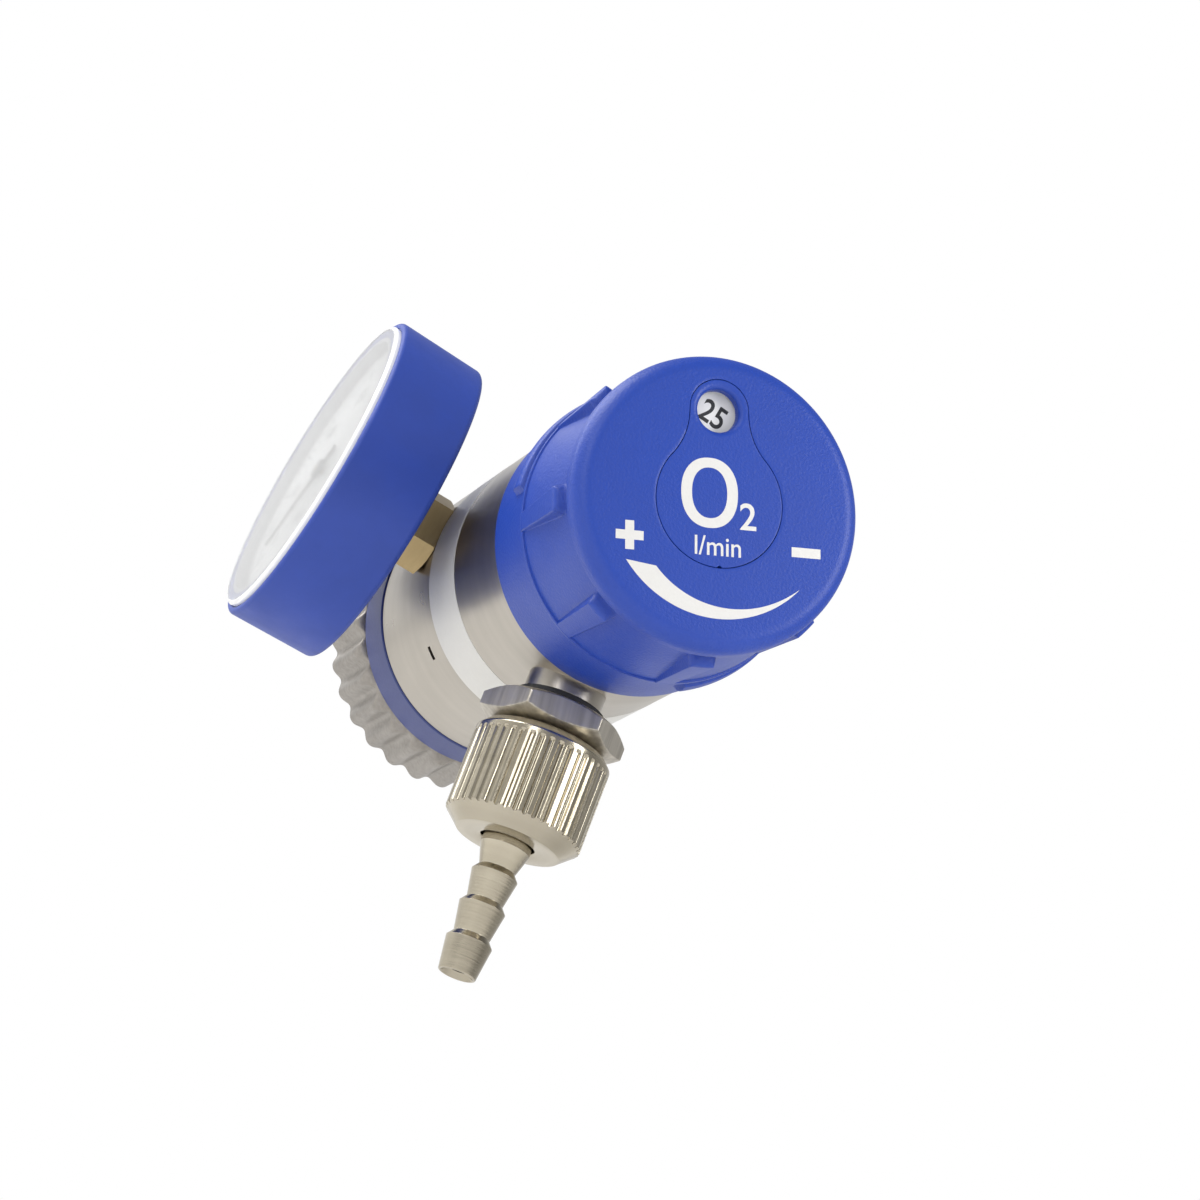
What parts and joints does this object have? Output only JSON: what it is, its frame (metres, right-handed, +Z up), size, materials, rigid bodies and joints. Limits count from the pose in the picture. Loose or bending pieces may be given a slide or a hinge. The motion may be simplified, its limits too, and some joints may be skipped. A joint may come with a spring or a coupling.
{
  "type": "oxygen regulator",
  "caption": "Handheld oxygen pressure regulator with a ribbed flow selector knob, side pressure gauge, barbed hose outlet and scalloped inlet hand wheel.",
  "frame": {"origin": "on the main axis, in the plane of the inlet nut's mouth", "axes": "+Y runs along the main axis out of the inlet nut, so the selector knob's face looks along -Y; +Z up, the outlet points down along -Z; the gauge is on the -X side"},
  "size_m": [0.0811, 0.138, 0.1165],
  "materials": {
    "blue_plastic": "fine-grained moulded plastic, satin",
    "blue_rubber": "smooth elastomer, satin",
    "white_plastic": "printed matt disc",
    "label_film": "printed film, satin",
    "nickel_brass": "satin nickel plate on brass",
    "brass": "machined",
    "cast_wheel": "bead-blasted casting",
    "steel": "machined",
    "seal_rubber": "matt",
    "seat_plastic": "turned fluoroplastic",
    "bronze": "sintered, open-pored",
    "clear_plastic": "clear, polished",
    "gauge_steel": "pressed sheet",
    "pointer_black": "matt black paint"
  },
  "bodies": {
    "body": {"selector_block": "brass", "block_o_ring": "seal_rubber", "bonnet": "brass", "bonnet_screws": "steel", "spindle_o_ring": "seal_rubber", "detent_spring": "steel", "flow_dial": "white_plastic", "collar_ring": "blue_plastic", "body_shell": "nickel_brass", "label_band": "label_film", "rear_ring": "blue_plastic", "piston_spring": "steel", "inlet_stem": "nickel_brass", "inlet_filter": "bronze", "inlet_seal": "seat_plastic", "outlet_adapter": "nickel_brass", "outlet_gasket": "seal_rubber", "outlet_seal": "seal_rubber", "gauge_socket": "brass", "gauge_case": "gauge_steel", "gauge_boot": "blue_rubber", "gauge_lens": "clear_plastic", "gauge_dial": "white_plastic", "gauge_movement_frame": "brass", "bourdon_tube": "brass"},
    "selector": {"selector_knob": "blue_plastic", "knob_cover_plate": "blue_plastic", "knob_screw": "steel", "selector_spindle": "steel", "orifice_disc": "steel"},
    "detent": {"detent_ball": "steel"},
    "piston_group": {"piston": "brass", "piston_seat": "seat_plastic", "piston_head_o_ring": "seal_rubber", "piston_tail_o_ring": "seal_rubber"},
    "wheel": {"handwheel": "cast_wheel"},
    "tail": {"hose_tail": "nickel_brass"},
    "nut": {"union_nut": "nickel_brass"},
    "gauge_hand": {"gauge_pointer": "pointer_black", "gauge_pinion": "brass"},
    "sector": {"gauge_sector": "brass"}
  },
  "joints": [
    {"name": "knob_turn", "type": "hinge", "parent": "body", "child": "selector", "pos_m": [0, -0.108, 0], "axis": [0, -1, 0], "range_deg": [0, 330]},
    {"name": "detent_press", "type": "slide", "parent": "body", "child": "detent", "axis": [0, -1, 0], "range_m": [0, 0.0005], "stiffness_N_per_m": 2000, "springref_m": -0.001, "deforming": ["detent_spring"]},
    {"name": "piston_slide", "type": "slide", "parent": "body", "child": "piston_group", "axis": [0, 1, 0], "range_m": [0, 0.0006], "stiffness_N_per_m": 15000, "springref_m": -0.002, "deforming": ["piston_spring"]},
    {"name": "wheel_spin", "type": "hinge", "parent": "body", "child": "wheel", "pos_m": [0, -0.0165, 0], "axis": [0, 1, 0], "continuous": true},
    {"name": "tail_slide", "type": "slide", "parent": "body", "child": "tail", "axis": [0, 0, -1], "range_m": [0, 0.00901]},
    {"name": "nut_turn", "type": "hinge", "parent": "tail", "child": "nut", "pos_m": [0, -0.08666, -0.045], "axis": [0, 0, -1], "range_deg": [0, 2160]},
    {"name": "sector_swing", "type": "hinge", "parent": "body", "child": "sector", "pos_m": [-0.0434, -0.06095, 0.00418], "axis": [0.9954, 0, -0.0958], "range_deg": [-34.6, 0], "stiffness_Nm_per_rad": 0.002},
    {"name": "pointer_turn", "type": "hinge", "parent": "body", "child": "gauge_hand", "pos_m": [-0.0434, -0.04995, 0.00418], "axis": [0.9954, 0, -0.0958], "range_deg": [0, 270]}
  ],
  "couplings": [
    {"joint": "tail_slide", "follows": "nut_turn", "m_per_rad": 0.00023873},
    {"joint": "pointer_turn", "follows": "sector_swing", "ratio": -7.8}
  ]
}
